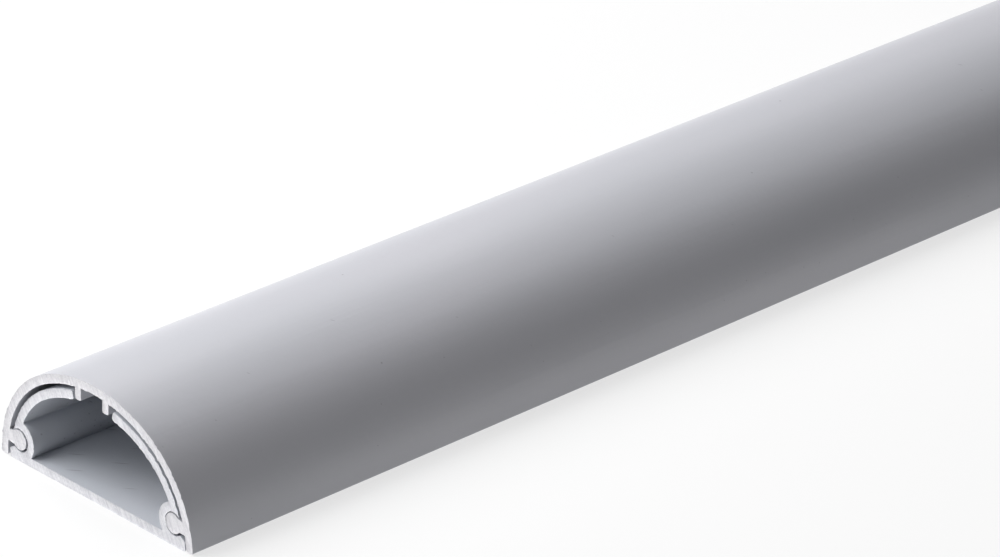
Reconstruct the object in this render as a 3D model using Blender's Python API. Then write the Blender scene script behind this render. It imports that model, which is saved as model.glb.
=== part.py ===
"""Half-round cable trunking in rigid PVC: a base that is fixed to the wall, and an arched cover that clips over it.

Both pieces are extrusions, so each is one closed section pushed along its length. The frame's origin is at the
middle of the underside, +X runs across the width, +Y along the length and +Z up from the wall or floor.
"""

import math

import bmesh
import bpy

MM = 0.001

# Whole trunking, in millimetres
LENGTH = 1000.0
WIDTH = 50.0
HEIGHT = 22.0

# The cover's outline: a flat crown arc that runs smoothly into a tighter shoulder arc on each side
SHOULDER_RADIUS = 21.0
SHOULDER_X = WIDTH / 2 - SHOULDER_RADIUS
CROWN_RADIUS = 29.5
CROWN_Z = HEIGHT - CROWN_RADIUS
SPRING_ANGLE = math.degrees(math.atan2(-CROWN_Z, SHOULDER_X))

# Walls, and the gap that touching pieces keep
COVER_WALL = 1.75
WING_WALL = 1.6
PLATE_WALL = 1.7
SOCKET_WALL = 1.6
AIR_GAP = 0.85
CLEARANCE = 0.3

# Cover: two ribs under the crown, and at each foot a neck that carries a round bulb
FOOT_Z = 0.2
FOOT_ROUND = 0.25
RIB_X = 3.55
RIB_WIDTH = 1.5
RIB_DROP = 2.3
RIB_ROUND = 0.45
BULB_X = 20.1
BULB_Z = 4.1
BULB_RADIUS = 1.85
NECK_TOP_Z = 5.2
NECK_BOTTOM_Z = 3.0
NECK_ROUND = 0.3

# Base: a plate, a socket round each bulb, and a wing that follows the cover up to its tip
PLATE_HALF = 22.85
PLATE_ROUND = 0.3
LIP_Z = 1.85
LIP_ANGLE = -49.0
LIP_ROUND = 0.2
JAW_ROUND = 0.2
WING_TIP_X = 5.25
WING_TIP_ROUND = 0.5
SOCKET_FILLET = 0.4

# Fineness of the arcs
LARGE_ARC_STEP = 3.0
SMALL_ARC_STEP = 12.0
CORNER_STEPS = 4
SHARP_ANGLE = 30.0

PVC_COVER = (0.50, 0.50, 0.54, 1.0)
PVC_BASE = (0.50, 0.51, 0.55, 1.0)
PVC_ROUGHNESS = 0.45


def around(centre, radius, angle):
    """The point at an angle, in degrees from +X, on a circle of the section."""
    turn = math.radians(angle)
    return (centre[0] + radius * math.cos(turn), centre[1] + radius * math.sin(turn))


def arc(centre, radius, start, end, step):
    """Points along an arc from one angle to the other, both ends included."""
    count = max(1, math.ceil(abs(end - start) / step))
    return [around(centre, radius, start + (end - start) * i / count) for i in range(count + 1)]


def angle_at_height(centre, radius, z):
    """The angle at which the right half of a circle passes a height."""
    return math.degrees(math.asin((z - centre[1]) / radius))


def angle_to(centre, point):
    """The angle, from 0 to 360 degrees, at which a point is seen from a circle's centre."""
    return math.degrees(math.atan2(point[1] - centre[1], point[0] - centre[0])) % 360.0


def circles_cross(first, first_radius, second, second_radius):
    """Both crossing points of two circles: the one to the left of the line between the centres comes first."""
    span = math.dist(first, second)
    along = (first_radius**2 - second_radius**2 + span**2) / (2 * span)
    aside = math.sqrt(first_radius**2 - along**2)
    ux = (second[0] - first[0]) / span
    uz = (second[1] - first[1]) / span
    foot = (first[0] + along * ux, first[1] + along * uz)
    return (
        (foot[0] - aside * uz, foot[1] + aside * ux),
        (foot[0] + aside * uz, foot[1] - aside * ux),
    )


def rounded(before, corner, after, radius):
    """Points of a round corner of this radius between two straight sides."""
    to_before = math.atan2(before[1] - corner[1], before[0] - corner[0])
    to_after = math.atan2(after[1] - corner[1], after[0] - corner[0])
    turn = (to_after - to_before + math.pi) % (2 * math.pi) - math.pi
    half = abs(turn) / 2
    middle = to_before + turn / 2
    reach = radius / math.sin(half)
    centre = (corner[0] + reach * math.cos(middle), corner[1] + reach * math.sin(middle))
    side = math.copysign(1.0, turn)
    start = math.degrees(to_before - side * math.pi / 2)
    sweep = -side * (180.0 - math.degrees(abs(turn)))
    return arc(centre, radius, start, start + sweep, abs(sweep) / CORNER_STEPS)


def soften(points, corners):
    """The path with each of its named corners, given as {index: radius}, made round."""
    path = []
    for i, point in enumerate(points):
        if i in corners:
            path += rounded(points[i - 1], point, points[(i + 1) % len(points)], corners[i])
        else:
            path.append(point)
    return path


SHOULDER = (SHOULDER_X, 0.0)
CROWN = (0.0, CROWN_Z)
BULB = (BULB_X, BULB_Z)


def dome(inset, start, end_x):
    """The cover's outline moved in by some wall thickness, from an angle low on the shoulder to x on the crown."""
    crown_end = math.degrees(math.acos(end_x / (CROWN_RADIUS - inset)))
    shoulder = arc(SHOULDER, SHOULDER_RADIUS - inset, start, SPRING_ANGLE, LARGE_ARC_STEP)
    crown = arc(CROWN, CROWN_RADIUS - inset, SPRING_ANGLE, crown_end, LARGE_ARC_STEP)
    return shoulder + crown[1:]


def cover_half():
    """The right half of the cover's section, from the crown's underside, round the foot, to the crown's top."""
    inside_radius = SHOULDER_RADIUS - COVER_WALL
    crown_inside = CROWN_RADIUS - COVER_WALL
    rib_end_z = CROWN_Z + math.sqrt(crown_inside**2 - RIB_X**2) - RIB_DROP
    rib_in = RIB_X - RIB_WIDTH / 2
    rib_out = RIB_X + RIB_WIDTH / 2

    neck_top = angle_at_height(SHOULDER, inside_radius, NECK_TOP_Z)
    neck_bottom = angle_at_height(SHOULDER, inside_radius, NECK_BOTTOM_Z)
    bulb_top = math.degrees(math.asin((NECK_TOP_Z + CLEARANCE - BULB_Z) / BULB_RADIUS))
    bulb_bottom = math.degrees(math.asin((NECK_BOTTOM_Z - BULB_Z) / BULB_RADIUS))

    top_inside = arc(
        CROWN,
        crown_inside,
        90.0,
        math.degrees(math.acos(rib_in / crown_inside)),
        LARGE_ARC_STEP,
    )
    upper_inside = dome(COVER_WALL, neck_top, rib_out)[::-1]
    rib = soften(
        [top_inside[-1], (rib_in, rib_end_z), (rib_out, rib_end_z), upper_inside[0]],
        {1: RIB_ROUND, 2: RIB_ROUND},
    )
    bulb = arc(BULB, BULB_RADIUS, bulb_top, 360.0 + bulb_bottom, SMALL_ARC_STEP)
    foot_inside = arc(
        SHOULDER,
        inside_radius,
        neck_bottom,
        angle_at_height(SHOULDER, inside_radius, FOOT_Z),
        LARGE_ARC_STEP,
    )
    outside = dome(0.0, angle_at_height(SHOULDER, SHOULDER_RADIUS, FOOT_Z), 0.0)
    neck_inside = soften(
        [upper_inside[-2], upper_inside[-1], bulb[0]],
        {1: NECK_ROUND},
    )[1:-1]
    notch = soften([bulb[-1], foot_inside[0], foot_inside[1]], {1: NECK_ROUND})[1:-1]
    foot = soften(
        [foot_inside[-2], foot_inside[-1], outside[0], outside[1]],
        {1: FOOT_ROUND, 2: FOOT_ROUND},
    )[1:-1]
    return (
        top_inside[:-1]
        + rib[:-1]
        + upper_inside[:-1]
        + neck_inside
        + bulb
        + notch
        + foot_inside[1:-1]
        + foot
        + outside[1:]
    )


def base_half():
    """The right half of the base's section, from the plate's underside, out and up the wing, to the plate's top."""
    wing_outside = COVER_WALL + AIR_GAP
    wing_inside = wing_outside + WING_WALL
    socket_radius = BULB_RADIUS + CLEARANCE
    socket_outside = socket_radius + SOCKET_WALL

    jaw = circles_cross(SHOULDER, SHOULDER_RADIUS - wing_outside, BULB, socket_radius)[0]
    elbow = circles_cross(SHOULDER, SHOULDER_RADIUS - wing_inside, BULB, socket_outside)[0]
    plate_meets_socket = 180.0 + math.degrees(math.asin((BULB_Z - PLATE_WALL) / socket_outside))

    socket = arc(BULB, socket_radius, 360.0 + LIP_ANGLE, angle_to(BULB, jaw), SMALL_ARC_STEP)
    outer_wing = dome(wing_outside, angle_to(SHOULDER, jaw), WING_TIP_X)
    inner_wing = dome(wing_inside, angle_to(SHOULDER, elbow), WING_TIP_X)[::-1]
    socket_back = arc(BULB, socket_outside, angle_to(BULB, elbow), plate_meets_socket, SMALL_ARC_STEP)

    lip = soften(
        [
            (0.0, 0.0),
            (PLATE_HALF, 0.0),
            (PLATE_HALF, LIP_Z),
            socket[0],
            socket[1],
        ],
        {1: PLATE_ROUND, 2: PLATE_ROUND, 3: LIP_ROUND},
    )[:-1]
    jaw_tip = soften([socket[-2], jaw, outer_wing[1]], {1: JAW_ROUND})[1:-1]
    wing_tip = soften(
        [outer_wing[-2], outer_wing[-1], inner_wing[0], inner_wing[1]],
        {1: WING_TIP_ROUND, 2: WING_TIP_ROUND},
    )[1:-1]
    elbow_round = soften([inner_wing[-2], elbow, socket_back[1]], {1: SOCKET_FILLET})[1:-1]
    plate_fillet = soften(
        [socket_back[-2], socket_back[-1], (0.0, PLATE_WALL)],
        {1: SOCKET_FILLET},
    )[1:]
    return (
        lip
        + socket[1:-1]
        + jaw_tip
        + outer_wing[1:-1]
        + wing_tip
        + inner_wing[1:-1]
        + elbow_round
        + socket_back[1:-1]
        + plate_fillet
    )


def whole_section(half):
    """A closed section from its right half, which starts and ends on the middle line."""
    return half + [(-x, z) for x, z in half[-2:0:-1]]


def pvc(name, colour):
    """Rigid grey PVC as it leaves the die, with a satin skin."""
    material = bpy.data.materials.new(name)
    material.use_nodes = True
    shader = material.node_tree.nodes["Principled BSDF"]
    shader.inputs["Base Color"].default_value = colour
    shader.inputs["Roughness"].default_value = PVC_ROUGHNESS
    shader.inputs["Metallic"].default_value = 0.0
    return material


def extrusion(name, section, material):
    """One piece: its section, in the XZ plane, pushed along Y over the whole length."""
    form = bmesh.new()
    corners = [form.verts.new((x * MM, -LENGTH / 2 * MM, z * MM)) for x, z in section]
    end_face = form.faces.new(corners)
    pushed = bmesh.ops.extrude_face_region(form, geom=[end_face])
    moved = [item for item in pushed["geom"] if isinstance(item, bmesh.types.BMVert)]
    bmesh.ops.translate(form, verts=moved, vec=(0.0, LENGTH * MM, 0.0))
    bmesh.ops.recalc_face_normals(form, faces=form.faces)
    mesh = bpy.data.meshes.new(name)
    form.to_mesh(mesh)
    form.free()
    mesh.shade_smooth()
    mesh.set_sharp_from_angle(angle=math.radians(SHARP_ANGLE))
    mesh.materials.append(material)
    piece = bpy.data.objects.new(name, mesh)
    bpy.context.scene.collection.objects.link(piece)
    return piece


def main():
    for leftover in list(bpy.data.objects):
        bpy.data.objects.remove(leftover)
    extrusion("base", whole_section(base_half()), pvc("base_pvc", PVC_BASE))
    extrusion("cover", whole_section(cover_half()), pvc("cover_pvc", PVC_COVER))


main()
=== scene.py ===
"""The looks of half-round cable trunking: two extrusions of light grey rigid PVC, seen from a sawn end."""

import math
import random

import bmesh
import bpy
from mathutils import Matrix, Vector


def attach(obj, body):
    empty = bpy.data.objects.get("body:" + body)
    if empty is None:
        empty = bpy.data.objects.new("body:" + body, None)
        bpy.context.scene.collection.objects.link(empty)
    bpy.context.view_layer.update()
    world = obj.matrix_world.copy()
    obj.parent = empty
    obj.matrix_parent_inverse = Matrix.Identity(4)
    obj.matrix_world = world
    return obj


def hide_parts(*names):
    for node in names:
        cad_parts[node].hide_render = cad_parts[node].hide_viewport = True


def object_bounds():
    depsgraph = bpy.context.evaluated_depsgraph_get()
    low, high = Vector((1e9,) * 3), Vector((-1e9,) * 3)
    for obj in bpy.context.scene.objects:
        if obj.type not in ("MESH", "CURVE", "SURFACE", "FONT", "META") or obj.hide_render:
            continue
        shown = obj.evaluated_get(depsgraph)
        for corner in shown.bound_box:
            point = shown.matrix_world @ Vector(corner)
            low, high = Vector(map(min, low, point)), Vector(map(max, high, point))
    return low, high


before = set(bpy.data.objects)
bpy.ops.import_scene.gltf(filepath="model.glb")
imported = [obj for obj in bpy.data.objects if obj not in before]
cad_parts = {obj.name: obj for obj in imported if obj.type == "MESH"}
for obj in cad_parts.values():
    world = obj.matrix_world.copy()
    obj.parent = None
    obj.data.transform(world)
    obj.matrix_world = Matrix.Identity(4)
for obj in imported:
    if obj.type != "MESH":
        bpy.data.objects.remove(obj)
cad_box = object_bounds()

MM = 0.001

# The frame's own measures, in millimetres, less what the ragged sawn rims need: RAG across the section, and
# TEETH along the length
RAG = 0.05
TEETH = 0.25
HALF_WIDTH = cad_box[1].x / MM - RAG
HEIGHT = cad_box[1].z / MM - RAG
FRONT = cad_box[0].y / MM + TEETH
BACK = cad_box[1].y / MM - TEETH

# The cover's outline: a flat crown arc that runs smoothly into a tighter shoulder arc on each side
SHOULDER_RADIUS = 21.0
SHOULDER_X = HALF_WIDTH - SHOULDER_RADIUS
CROWN_RADIUS = (SHOULDER_X**2 + HEIGHT**2 - SHOULDER_RADIUS**2) / (2 * (HEIGHT - SHOULDER_RADIUS))
CROWN_Z = HEIGHT - CROWN_RADIUS
SPRING_ANGLE = math.degrees(math.atan2(-CROWN_Z, SHOULDER_X))
SHOULDER = (SHOULDER_X, 0.0)
CROWN = (0.0, CROWN_Z)

# Walls, and the play between bulb and socket
COVER_WALL = 1.64
WING_WALL = 1.6
PLATE_WALL = 1.7
SOCKET_WALL = 1.6
AIR_GAP = 0.82
PLAY = 0.3

# How far the base lies towards +X in the cover, within that play
SEAT_SHIFT = 0.2

# Cover: ribs under the crown, and a foot with a neck and a bulb on each side
FOOT_Z = 0.2
FOOT_ROUND = 0.25
RIB_X = 3.55
RIB_WIDTH = 1.5
RIB_DROP = 2.3
RIB_ROUND = 0.4
BULB = (20.1, 4.1)
BULB_RADIUS = 1.85
NECK_TOP_Z = 5.2
NECK_BOTTOM_Z = 3.0
NECK_ROUND = 0.25

# Base: a plate with a socket on each side, and a wing on each socket
PLATE_Z = RAG
PLATE_HALF = 22.8
PLATE_ROUND = 0.3
LIP_Z = 1.85
LIP_ANGLE = -49.0
LIP_ROUND = 0.2
WING_TIP_X = 5.25
WING_TIP_ROUND = 0.5
FILLET = 0.25

# Fineness: millimetres of outline per step, steps round a corner, how near counts as touching and as the
# same point, and the sharpest bend in degrees that is shaded smooth
LARGE_STEP = 0.45
SMALL_STEP = 0.22
CORNER_STEPS = 4
TOUCH = 0.01
MERGE = 0.001
SMOOTH_BEND = 30.0

# The sawn face, in millimetres and degrees: a thin rim with teeth of burr on a share of its vertices, and
# strokes of the saw that slant from upright
RIM = 0.17
RIM_RISE = 0.05
SAW_PITCH = 0.8
SAW_SLANT = 28.0
STROKE_DEPTH = 0.03
TOOTH_SHARE = 0.12
TOOTH_LENGTH = 0.12
SAW_ACROSS = Vector((math.cos(math.radians(SAW_SLANT)), 0.0, math.sin(math.radians(SAW_SLANT))))
SAW_STROKES = range(math.floor(-HALF_WIDTH / SAW_PITCH), math.ceil((HALF_WIDTH + HEIGHT) / SAW_PITCH))

# Where the chance in the strokes' depths and the burr starts, and how many patterns of burr it picks from
SEED = 7
BURR_PATTERNS = 1000


def around(centre, radius, angle):
    """The point at an angle, in degrees from +X, on a circle of the section."""
    turn = math.radians(angle)
    return (centre[0] + radius * math.cos(turn), centre[1] + radius * math.sin(turn))


def angle_to(centre, point):
    """The angle, from 0 to 360 degrees, at which a point is seen from a circle's centre."""
    return math.degrees(math.atan2(point[1] - centre[1], point[0] - centre[0])) % 360.0


def angle_at_height(centre, radius, z):
    """The angle at which the right half of a circle passes a height."""
    return math.degrees(math.asin((z - centre[1]) / radius))


def crown_angle(radius, x):
    """The angle at which a circle about the crown's centre passes x."""
    return math.degrees(math.acos(x / radius))


def upper_crossing(first, first_radius, second, second_radius):
    """The crossing point of two circles that lies to the left of the line between their centres."""
    span = math.dist(first, second)
    along = (first_radius**2 - second_radius**2 + span**2) / (2 * span)
    aside = math.sqrt(first_radius**2 - along**2)
    ux = (second[0] - first[0]) / span
    uz = (second[1] - first[1]) / span
    return (first[0] + along * ux - aside * uz, first[1] + along * uz + aside * ux)


def vertices_near(mesh, points, reach):
    """The vertices of an edit mesh that lie within a reach, in millimetres, of points of the section."""
    places = [Vector((x * MM, 0.0, z * MM)) for x, z in points]
    return [
        v
        for v in mesh.verts
        if any((Vector((v.co.x, 0.0, v.co.z)) - place).length < reach * MM for place in places)
    ]


def select_only(mesh, items):
    """Leaves just these vertices or faces of an edit mesh selected."""
    bpy.ops.mesh.select_all(action="DESELECT")
    for item in items:
        item.select_set(True)
    mesh.select_flush_mode()
    bmesh.update_edit_mesh(bpy.context.object.data)


class Pen:
    """Draws half a section as one line of edges: a vertex extruded along straights and spun along arcs."""

    def __init__(self, name, start):
        bpy.ops.object.select_all(action="DESELECT")
        bpy.ops.mesh.primitive_plane_add(size=MM, location=(0.0, 0.0, 0.0))
        self.piece = bpy.context.object
        self.piece.name = name
        bpy.ops.object.mode_set(mode="EDIT")
        # Merged at its centre, the plane leaves the one vertex that the line starts from.
        bpy.ops.mesh.merge(type="CENTER")
        bpy.ops.transform.translate(value=(start[0] * MM, FRONT * MM, start[1] * MM))
        self.at = start

    def line(self, point):
        """Extrudes the last vertex straight to a point."""
        move = ((point[0] - self.at[0]) * MM, 0.0, (point[1] - self.at[1]) * MM)
        bpy.ops.mesh.extrude_vertices_move(TRANSFORM_OT_translate={"value": move})
        self.at = point

    def arc(self, centre, end, step=LARGE_STEP):
        """Spins the last vertex about a centre, up to an angle given in degrees from +X towards +Z."""
        radius = math.dist(centre, self.at)
        begin = angle_to(centre, self.at)
        sweep = math.radians(end - begin)
        bpy.ops.mesh.spin(
            steps=max(1, math.ceil(abs(sweep) * radius / step)),
            angle=sweep,
            center=(centre[0] * MM, FRONT * MM, centre[1] * MM),
            axis=(0.0, 1.0, 0.0),
        )
        self.at = around(centre, radius, end)

    def round_off(self, corners, cut):
        """Rounds corners of the line, each cut back by the same length on both sides."""
        mesh = bmesh.from_edit_mesh(self.piece.data)
        at_corners = vertices_near(mesh, corners, TOUCH)
        select_only(mesh, [v for v in vertices_near(mesh, corners, cut + TOUCH) if v not in at_corners])
        bpy.ops.mesh.dissolve_verts()
        select_only(mesh, vertices_near(mesh, corners, TOUCH))
        bpy.ops.mesh.bevel(affect="VERTICES", offset=cut * MM, segments=CORNER_STEPS)

    def close(self):
        """Mirrors the half line to -X, fills it with one face and cuts that into a rim and saw strokes."""
        bpy.ops.mesh.select_all(action="SELECT")
        bpy.ops.mesh.symmetrize(direction="POSITIVE_X", threshold=MERGE * MM)
        bpy.ops.mesh.select_all(action="SELECT")
        bpy.ops.mesh.remove_doubles(threshold=MERGE * MM)
        bpy.ops.mesh.edge_face_add()
        bpy.ops.mesh.inset(thickness=RIM * MM, depth=0.0, use_even_offset=True)
        for stroke in SAW_STROKES:
            mesh = bmesh.from_edit_mesh(self.piece.data)
            select_only(mesh, [f for f in mesh.faces if not any(e.is_boundary for e in f.edges)])
            bpy.ops.mesh.bisect(plane_co=SAW_ACROSS * (stroke * SAW_PITCH * MM), plane_no=SAW_ACROSS)
        return self.piece


def draw_cover():
    """The cover's section: the arch, its two ribs, and on each side the foot, the neck and the bulb."""
    inside = SHOULDER_RADIUS - COVER_WALL
    crown_inside = CROWN_RADIUS - COVER_WALL
    rib_in = RIB_X - RIB_WIDTH / 2
    rib_out = RIB_X + RIB_WIDTH / 2
    rib_end = CROWN_Z + math.sqrt(crown_inside**2 - RIB_X**2) - RIB_DROP
    neck_top = angle_at_height(SHOULDER, inside, NECK_TOP_Z)
    bulb_top = angle_at_height(BULB, BULB_RADIUS, NECK_TOP_Z + PLAY)
    bulb_bottom = angle_at_height(BULB, BULB_RADIUS, NECK_BOTTOM_Z)
    neck_bottom = angle_at_height(SHOULDER, inside, NECK_BOTTOM_Z)

    pen = Pen("cover_skin", around(CROWN, crown_inside, 90.0))
    pen.arc(CROWN, crown_angle(crown_inside, rib_in))
    pen.line((rib_in, rib_end))
    pen.line((rib_out, rib_end))
    pen.line(around(CROWN, crown_inside, crown_angle(crown_inside, rib_out)))
    pen.arc(CROWN, SPRING_ANGLE)
    pen.arc(SHOULDER, neck_top)
    pen.line(around(BULB, BULB_RADIUS, bulb_top))
    pen.arc(BULB, 360.0 + bulb_bottom, SMALL_STEP)
    pen.line(around(SHOULDER, inside, neck_bottom))
    foot_inside = around(SHOULDER, inside, angle_at_height(SHOULDER, inside, FOOT_Z))
    foot_outside = around(SHOULDER, SHOULDER_RADIUS, angle_at_height(SHOULDER, SHOULDER_RADIUS, FOOT_Z))
    pen.arc(SHOULDER, angle_to(SHOULDER, foot_inside))
    pen.line(foot_outside)
    pen.arc(SHOULDER, SPRING_ANGLE)
    pen.arc(CROWN, 90.0)

    pen.round_off([(rib_in, rib_end), (rib_out, rib_end)], RIB_ROUND)
    pen.round_off([foot_inside, foot_outside], FOOT_ROUND)
    pen.round_off([around(SHOULDER, inside, neck_top), around(SHOULDER, inside, neck_bottom)], NECK_ROUND)
    return pen.close()


def draw_base():
    """The base's section: the plate, and on each side the lip, the C-shaped socket and the wing."""
    wing_outside = COVER_WALL + AIR_GAP
    wing_inside = wing_outside + WING_WALL
    socket_inside = BULB_RADIUS + PLAY
    socket_outside = socket_inside + SOCKET_WALL
    jaw = upper_crossing(SHOULDER, SHOULDER_RADIUS - wing_outside, BULB, socket_inside)
    elbow = upper_crossing(SHOULDER, SHOULDER_RADIUS - wing_inside, BULB, socket_outside)
    lip_end = around(BULB, socket_inside, LIP_ANGLE)
    tip_angle = crown_angle(CROWN_RADIUS - wing_outside, WING_TIP_X + WING_TIP_ROUND)
    tip_high = around(CROWN, CROWN_RADIUS - wing_outside - WING_TIP_ROUND, tip_angle)
    tip_low = around(CROWN, CROWN_RADIUS - wing_inside + WING_TIP_ROUND, tip_angle)
    tip_straight = math.dist(tip_high, tip_low)
    plate_top = 180.0 - math.degrees(math.asin((PLATE_WALL - BULB[1]) / socket_outside))

    pen = Pen("base_skin", (0.0, PLATE_Z))
    pen.line((PLATE_HALF, PLATE_Z))
    pen.line((PLATE_HALF, LIP_Z))
    pen.line(lip_end)
    pen.arc(BULB, angle_to(BULB, jaw), SMALL_STEP)
    pen.arc(SHOULDER, SPRING_ANGLE)
    pen.arc(CROWN, tip_angle)
    pen.arc(tip_high, tip_angle + 90.0, SMALL_STEP)
    pen.line(around(pen.at, tip_straight, tip_angle + 180.0))
    pen.arc(tip_low, tip_angle + 180.0, SMALL_STEP)
    pen.arc(CROWN, SPRING_ANGLE)
    pen.arc(SHOULDER, angle_to(SHOULDER, elbow))
    pen.arc(BULB, plate_top, SMALL_STEP)
    socket_foot = pen.at
    pen.line((0.0, PLATE_WALL))

    pen.round_off([(PLATE_HALF, PLATE_Z)], PLATE_ROUND)
    pen.round_off([(PLATE_HALF, LIP_Z), lip_end, jaw], LIP_ROUND)
    pen.round_off([elbow, socket_foot], FILLET)
    piece = pen.close()
    bpy.ops.mesh.select_all(action="SELECT")
    bpy.ops.transform.translate(value=(SEAT_SHIFT * MM, 0.0, 0.0))
    return piece


# Rows of vertices along the length, in millimetres: close together at a sawn end, wide apart between
FIRST_ROW = 0.15
ROW_GROWTH = 1.9
WIDEST_ROW = 20.0

# A piece's material slots. The torn rim's is paler: whitened torn PVC and a painted highlight.
SKIN, CUT, TORN_AND_PAINTED_HIGHLIGHT = range(3)


def row_steps():
    """The steps along the length, from the front end to the back end."""
    near = []
    while not near or near[-1] * ROW_GROWTH < WIDEST_ROW:
        near.append(near[-1] * ROW_GROWTH if near else FIRST_ROW)
    middle = BACK - FRONT - 2 * sum(near)
    count = round(middle / WIDEST_ROW)
    return near + [middle / count] * count + near[::-1]


def on_cut(mesh, end):
    """The vertices in the sawn plane at one end, as those on its outline and those within it."""

    def in_plane(vertex):
        return abs(vertex.co.y - end * MM) < TOUCH * MM

    cut = [v for v in mesh.verts if in_plane(v)]
    within = [v for v in cut if all(in_plane(e.other_vert(v)) for e in v.link_edges)]
    inner = set(within)
    return [v for v in cut if v not in inner], within


def saw_off(piece, end, out):
    """Gives one end its sawn face: strokes of uneven depth, and a proud torn rim with teeth of burr."""
    mesh = bmesh.from_edit_mesh(piece.data)
    outline, within = on_cut(mesh, end)
    on_outline = set(outline)
    sawn = on_outline.union(within)
    face = [f for f in mesh.faces if sawn.issuperset(f.verts)]
    rim = [f for f in face if not on_outline.isdisjoint(f.verts)]
    # The rim faces get a paler material: partly torn PVC's whitening, partly a painted highlight where the
    # burr edges catch light.
    for slot, faces in ((CUT, face), (TORN_AND_PAINTED_HIGHLIGHT, rim)):
        select_only(mesh, faces)
        piece.active_material_index = slot
        bpy.ops.object.material_slot_assign()

    for stroke in SAW_STROKES:
        band = [v for v in within if round(v.co.dot(SAW_ACROSS) / (SAW_PITCH * MM)) == stroke]
        if band:
            select_only(mesh, band)
            depth = random.uniform(-STROKE_DEPTH, STROKE_DEPTH)
            bpy.ops.transform.translate(value=(0.0, depth * MM, 0.0))
    select_only(mesh, outline)
    bpy.ops.transform.translate(value=(0.0, out * RIM_RISE * MM, 0.0))
    bpy.ops.transform.vertex_random(offset=RAG * MM, seed=random.randrange(BURR_PATTERNS))
    select_only(mesh, random.sample(outline, round(len(outline) * TOOTH_SHARE)))
    bpy.ops.transform.translate(value=(0.0, out * TOOTH_LENGTH * MM, 0.0))


def push_out(piece, materials):
    """Extrudes the section row by row along the length, gives it its materials and saws both ends."""
    bpy.ops.mesh.select_all(action="SELECT")
    for step in row_steps():
        bpy.ops.mesh.extrude_region_move(TRANSFORM_OT_translate={"value": (0.0, step * MM, 0.0)})
    bpy.ops.mesh.select_all(action="SELECT")
    bpy.ops.mesh.normals_make_consistent(inside=False)
    for slot in (SKIN, CUT, TORN_AND_PAINTED_HIGHLIGHT):
        piece.data.materials.append(materials[slot])
    for end, out in ((FRONT, -1.0), (BACK, 1.0)):
        saw_off(piece, end, out)
    return piece


def add_node(material, kind, inputs=None, **settings):
    """Adds a shader node, with its settings by name, and its inputs' values or links by name or number.

    A Mix of colours has its factor at input 0, its colours at inputs 6 and 7, and its result at output 2.
    """
    tree = material.node_tree
    node = tree.nodes.new("ShaderNode" + kind)
    for name, value in settings.items():
        setattr(node, name, value)
    for name, value in (inputs or {}).items():
        if isinstance(value, bpy.types.NodeSocket):
            tree.links.new(value, node.inputs[name])
        else:
            node.inputs[name].default_value = value
    return node


def linear(colour):
    """An sRGB hex colour, such as #C0C0C6, as the linear RGBA that shaders take."""
    channels = [int(colour[i : i + 2], 16) / 255 for i in (1, 3, 5)]
    return [c / 12.92 if c <= 0.04045 else ((c + 0.055) / 1.055) ** 2.4 for c in channels] + [1.0]


def new_material(name):
    """An empty material with nodes, and its surface output."""
    material = bpy.data.materials.new(name)
    material.use_nodes = True
    material.node_tree.nodes.clear()
    return material, add_node(material, "OutputMaterial")


# What all of the PVC shares
PVC_IOR = 1.53

# The skin's patterns: cells to the millimetre, and how much their scale shrinks along the length
CLOUDS_PER_MM = 0.05
CLOUD_SQUEEZE = 0.2
DRAW_LINES_PER_MM = 1.4
DRAW_SQUEEZE = 0.006
PEEL_PER_MM = 0.5
GRAINS_PER_MM = 0.105

# Their relief in millimetres, the slant of the handling marks in degrees, and the greys of grains and marks
DRAW_DEPTH = 0.02
PEEL_DEPTH = 0.03
MARK_DEPTH = 0.02
MARK_SLANT = -52.0
BURNT_GREY = "#6E6C74"
MARK_GREY = "#8E8D96"


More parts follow.
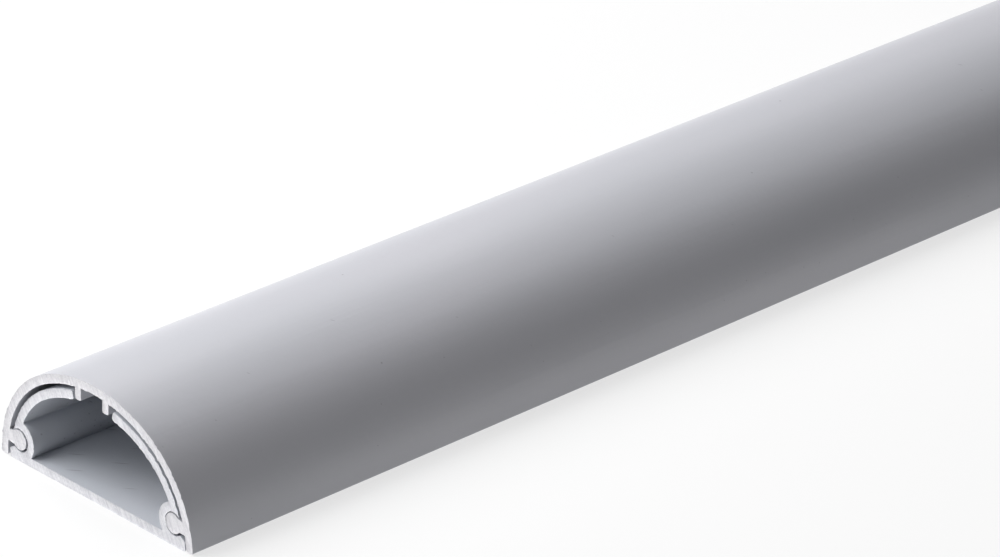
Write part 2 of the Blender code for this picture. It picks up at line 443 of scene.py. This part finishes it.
def extruded_pvc(name, colour, cloud, mark_width, mark_length, mark_gap):
    """Rigid PVC as it leaves the die, in satin grey. Its handling marks are sized in millimetres."""
    material, output = new_material(name)
    place = add_node(material, "TexCoord").outputs["Object"]

    # Pigment flows with the melt, in clouds of about 20 mm by 100 mm. They keep the grey from looking
    # painted on.
    flow = add_node(material, "Mapping", {"Vector": place, "Scale": (1.0, CLOUD_SQUEEZE, 1.0)})
    clouds = add_node(
        material, "TexNoise", {"Vector": flow.outputs[0], "Scale": CLOUDS_PER_MM / MM, "Detail": 3.0}
    )
    cloudy = add_node(
        material, "MapRange", {"Value": clouds.outputs[0], "From Min": 0.35, "From Max": 0.65}
    )
    grey = add_node(
        material, "Mix", {0: cloudy.outputs[0], 6: linear(colour), 7: linear(cloud)}, data_type="RGBA"
    )

    # Burnt grains in the melt, about 0.4 mm across, one to a cell of 9.5 mm. Most lie too deep to show, and
    # the rest are the few dark specks on the skin.
    grains = add_node(material, "TexVoronoi", {"Vector": place, "Scale": GRAINS_PER_MM / MM})
    specks = add_node(
        material,
        "MapRange",
        {
            "Value": grains.outputs["Distance"],
            "From Min": 0.012,
            "From Max": 0.026,
            "To Min": 0.6,
            "To Max": 0.0,
        },
    )
    specked = add_node(
        material, "Mix", {0: specks.outputs[0], 6: grey.outputs[2], 7: linear(BURNT_GREY)}, data_type="RGBA"
    )

    # Handling scratches, slanted across the length, one to a cell of their pattern. Few cells put theirs on
    # the surface, so they show as thin dull marks here and there.
    slant = add_node(
        material,
        "Mapping",
        {
            "Vector": place,
            "Rotation": (0.0, 0.0, math.radians(MARK_SLANT)),
            "Scale": (1.0, mark_length / mark_width, 1.0),
        },
        vector_type="TEXTURE",
    )
    strokes = add_node(
        material, "TexVoronoi", {"Vector": slant.outputs[0], "Scale": 1.0 / (mark_gap * MM)}
    )
    reach = mark_width / mark_gap / 2
    scratches = add_node(
        material,
        "MapRange",
        {
            "Value": strokes.outputs["Distance"],
            "From Min": reach / 2,
            "From Max": reach,
            "To Min": 0.6,
            "To Max": 0.0,
        },
    )
    scratched = add_node(
        material,
        "Mix",
        {0: scratches.outputs[0], 6: specked.outputs[2], 7: linear(MARK_GREY)},
        data_type="RGBA",
    )

    # Draw lines of the die, each about a decimetre long. Real ones are finer than the picture can show, so
    # these are 0.7 mm apart. They streak the soft highlight lengthwise.
    lengthwise = add_node(material, "Mapping", {"Vector": place, "Scale": (1.0, DRAW_SQUEEZE, 1.0)})
    lines = add_node(
        material,
        "TexNoise",
        {"Vector": lengthwise.outputs[0], "Scale": DRAW_LINES_PER_MM / MM, "Detail": 2.0},
    )
    drawn = add_node(
        material, "Bump", {"Height": lines.outputs[0], "Strength": 1.0, "Distance": DRAW_DEPTH * MM}
    )
    # Orange peel of about 2 mm: it breaks up the edge of the highlight.
    peel = add_node(material, "TexNoise", {"Vector": place, "Scale": PEEL_PER_MM / MM, "Detail": 1.0})
    peeled = add_node(
        material,
        "Bump",
        {
            "Height": peel.outputs[0],
            "Strength": 1.0,
            "Distance": PEEL_DEPTH * MM,
            "Normal": drawn.outputs[0],
        },
    )
    scored = add_node(
        material,
        "Bump",
        {
            "Height": scratches.outputs[0],
            "Strength": 1.0,
            "Distance": MARK_DEPTH * MM,
            "Normal": peeled.outputs[0],
        },
        invert=True,
    )

    # Satin, a little duller in the clouds
    satin = add_node(
        material,
        "MapRange",
        {"Value": clouds.outputs[0], "From Min": 0.3, "From Max": 0.7, "To Min": 0.37, "To Max": 0.45},
    )
    shader = add_node(
        material,
        "BsdfPrincipled",
        {
            "Base Color": scratched.outputs[2],
            "Roughness": satin.outputs[0],
            "IOR": PVC_IOR,
            "Normal": scored.outputs[0],
        },
    )
    material.node_tree.links.new(shader.outputs[0], output.inputs["Surface"])
    return material


# The cut's patterns: cells to the millimetre, and how much longer than wide a groove is
GROOVES_PER_MM = 2.8
GROOVE_STRETCH = 12.0
CRUMBS_PER_MM = 2.4
SAWN_ROUGHNESS = 0.72


def sawn_pvc(name, colour, pale, depth):
    """The same PVC where a saw has cut it: whitened, matt, and combed to a depth in millimetres. With paler
    greys it also makes the torn rim, whose paleness is partly a painted highlight.
    """
    material, output = new_material(name)
    place = add_node(material, "TexCoord").outputs["Object"]

    # Each tooth of the saw leaves a groove along the stroke. Real grooves are 0.1 mm apart, and these are
    # 0.35 mm apart to show. They comb the cut face with pale and greyer streaks.
    along_stroke = add_node(
        material,
        "Mapping",
        {
            "Vector": place,
            "Rotation": (0.0, math.radians(-SAW_SLANT), 0.0),
            "Scale": (1.0, 1.0, GROOVE_STRETCH),
        },
        vector_type="TEXTURE",
    )
    grooves = add_node(
        material,
        "TexNoise",
        {"Vector": along_stroke.outputs[0], "Scale": GROOVES_PER_MM / MM, "Detail": 2.0},
    )
    # Crumbled grains of about 0.4 mm, from the heat and tearing of the cut. They mottle the cut face.
    crumbs = add_node(
        material,
        "TexNoise",
        {"Vector": place, "Scale": CRUMBS_PER_MM / MM, "Detail": 3.0, "Roughness": 0.7},
    )
    both = add_node(material, "Math", {0: grooves.outputs[0], 1: crumbs.outputs[0]}, operation="ADD")
    whitened = add_node(
        material, "MapRange", {"Value": both.outputs[0], "From Min": 0.8, "From Max": 1.2}
    )
    shade = add_node(
        material, "Mix", {0: whitened.outputs[0], 6: linear(colour), 7: linear(pale)}, data_type="RGBA"
    )
    rough = add_node(
        material, "Bump", {"Height": both.outputs[0], "Strength": 1.0, "Distance": depth * MM}
    )
    shader = add_node(
        material,
        "BsdfPrincipled",
        {
            "Base Color": shade.outputs[2],
            "Roughness": SAWN_ROUGHNESS,
            "IOR": PVC_IOR,
            "Normal": rough.outputs[0],
        },
    )
    material.node_tree.links.new(shader.outputs[0], output.inputs["Surface"])
    return material


def finish_piece(piece, node):
    """Smooths the piece, leaves edit mode and gives it to the frame in place of its CAD node."""
    bpy.ops.object.mode_set(mode="OBJECT")
    bpy.ops.object.shade_smooth_by_angle(angle=math.radians(SMOOTH_BEND))
    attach(piece, "root")
    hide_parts(node)


def make_trunking():
    """Makes both extrusions. Each has a skin, and where it is sawn a cut face inside a torn rim."""
    random.seed(SEED)
    cover_pvc = {
        SKIN: extruded_pvc(
            "extruded_cover_pvc", "#C0C0C6", "#BBBCC2", mark_width=0.24, mark_length=5.3, mark_gap=2.38
        ),
        CUT: sawn_pvc("sawn_cover_pvc", "#B3B2B8", "#CBCACF", depth=0.06),
        # The torn rim's paler greys: partly whitened torn PVC, partly a painted highlight along the sawn
        # edge.
        TORN_AND_PAINTED_HIGHLIGHT: sawn_pvc("torn_cover_pvc_painted_highlight", "#D2D1D6", "#E8E7EA", depth=0.08),
    }
    cover = push_out(draw_cover(), cover_pvc)
    finish_piece(cover, "cover")
    base_pvc = {
        SKIN: extruded_pvc(
            "extruded_base_pvc", "#BEC1C8", "#B9BDC4", mark_width=0.37, mark_length=3.7, mark_gap=1.43
        ),
        CUT: sawn_pvc("sawn_base_pvc", "#B2B2B9", "#CACAD0", depth=0.06),
        # The torn rim's paler greys: partly whitened torn PVC, partly a painted highlight along the sawn
        # edge.
        TORN_AND_PAINTED_HIGHLIGHT: sawn_pvc("torn_base_pvc_painted_highlight", "#D1D1D7", "#E7E7EB", depth=0.08),
    }
    base = push_out(draw_base(), base_pvc)
    finish_piece(base, "base")


# The studio's soft lamps, in metres, degrees and watts, each turned towards a point AIM_Z above the floor.
# A row gives a lamp's name, that point's y, the distance from it, the azimuth from +X, the elevation, and
# the lamp's width, height and power. SURROUND is the strength of the grey light from all around.
AIM_Z = 0.01
NEAR = -0.42
LAMPS = [
    ("left", NEAR, 1.0, 180.0, 45.0, 0.65, 0.65, 6.5),
    ("front_left", NEAR, 1.0, -135.0, 45.0, 0.65, 0.65, 8.0),
    ("top", NEAR, 1.0, -150.0, 70.0, 0.65, 0.65, 1.6),
    ("front", NEAR, 1.0, -90.0, 30.0, 0.65, 0.65, 1.8),
    ("long_left", 0.0, 1.5, 180.0, 45.0, 2.0, 0.6, 3.0),
    ("rear", 0.3, 1.5, 90.0, 30.0, 1.0, 1.0, 3.5),
]
SURROUND = 0.01


def light_studio():
    """Soft lamps, mostly from the part's left and front, and a dim grey surround."""
    for name, aim_y, distance, azimuth, elevation, width, height, power in LAMPS:
        lamp = bpy.data.lights.new(name, "AREA")
        lamp.shape = "RECTANGLE"
        lamp.size = width
        lamp.size_y = height
        lamp.energy = power
        level = math.cos(math.radians(elevation))
        away = Vector(
            (
                math.cos(math.radians(azimuth)) * level,
                math.sin(math.radians(azimuth)) * level,
                math.sin(math.radians(elevation)),
            )
        )
        holder = bpy.data.objects.new(name, lamp)
        holder.location = Vector((0.0, aim_y, AIM_Z)) + away * distance
        # A lamp shines along its own -Z.
        holder.rotation_euler = away.to_track_quat("Z", "Y").to_euler()
        bpy.context.scene.collection.objects.link(holder)
    world = bpy.data.worlds.new("studio")
    world.use_nodes = True
    background = world.node_tree.nodes["Background"]
    background.inputs["Color"].default_value = linear("#FFFFFF")
    background.inputs["Strength"].default_value = SURROUND
    bpy.context.scene.world = world
    bpy.context.scene.view_settings.view_transform = "Standard"


# The floor: its side in metres, and the strength of its glow
FLOOR_SIZE = 12.0
FLOOR_GLOW = 0.68


def lay_floor():
    """A plain pale floor under the part: opal acrylic, lit from below so that shadows stay faint."""
    bpy.ops.object.select_all(action="DESELECT")
    bpy.ops.mesh.primitive_plane_add(size=FLOOR_SIZE, location=(0.0, 0.0, 0.0))
    floor = bpy.context.object
    floor.name = "floor"
    material, output = new_material("backlit_opal_acrylic")
    shader = add_node(
        material,
        "BsdfPrincipled",
        {
            "Base Color": linear("#898989"),
            "Roughness": 0.9,
            "Specular IOR Level": 0.1,
            "Emission Color": linear("#FFFFFF"),
            "Emission Strength": FLOOR_GLOW,
        },
    )
    material.node_tree.links.new(shader.outputs[0], output.inputs["Surface"])
    floor.data.materials.append(material)


# The camera, as fitted to the picture: metres and degrees
CAMERA_PLACE = (0.5837, FRONT * MM - 0.4548, 0.3951)
CAMERA_TILT = 64.344
CAMERA_TURN = 46.898
LENS_MM = 182.0
SENSOR_MM = 36.0


def place_camera():
    """A long lens that looks down the trunking from its front right."""
    camera = bpy.data.cameras.new("camera")
    camera.lens = LENS_MM
    camera.sensor_width = SENSOR_MM
    holder = bpy.data.objects.new("camera", camera)
    holder.location = CAMERA_PLACE
    holder.rotation_euler = (math.radians(CAMERA_TILT), 0.0, math.radians(CAMERA_TURN))
    bpy.context.scene.collection.objects.link(holder)
    bpy.context.scene.camera = holder


make_trunking()
lay_floor()
light_studio()
place_camera()
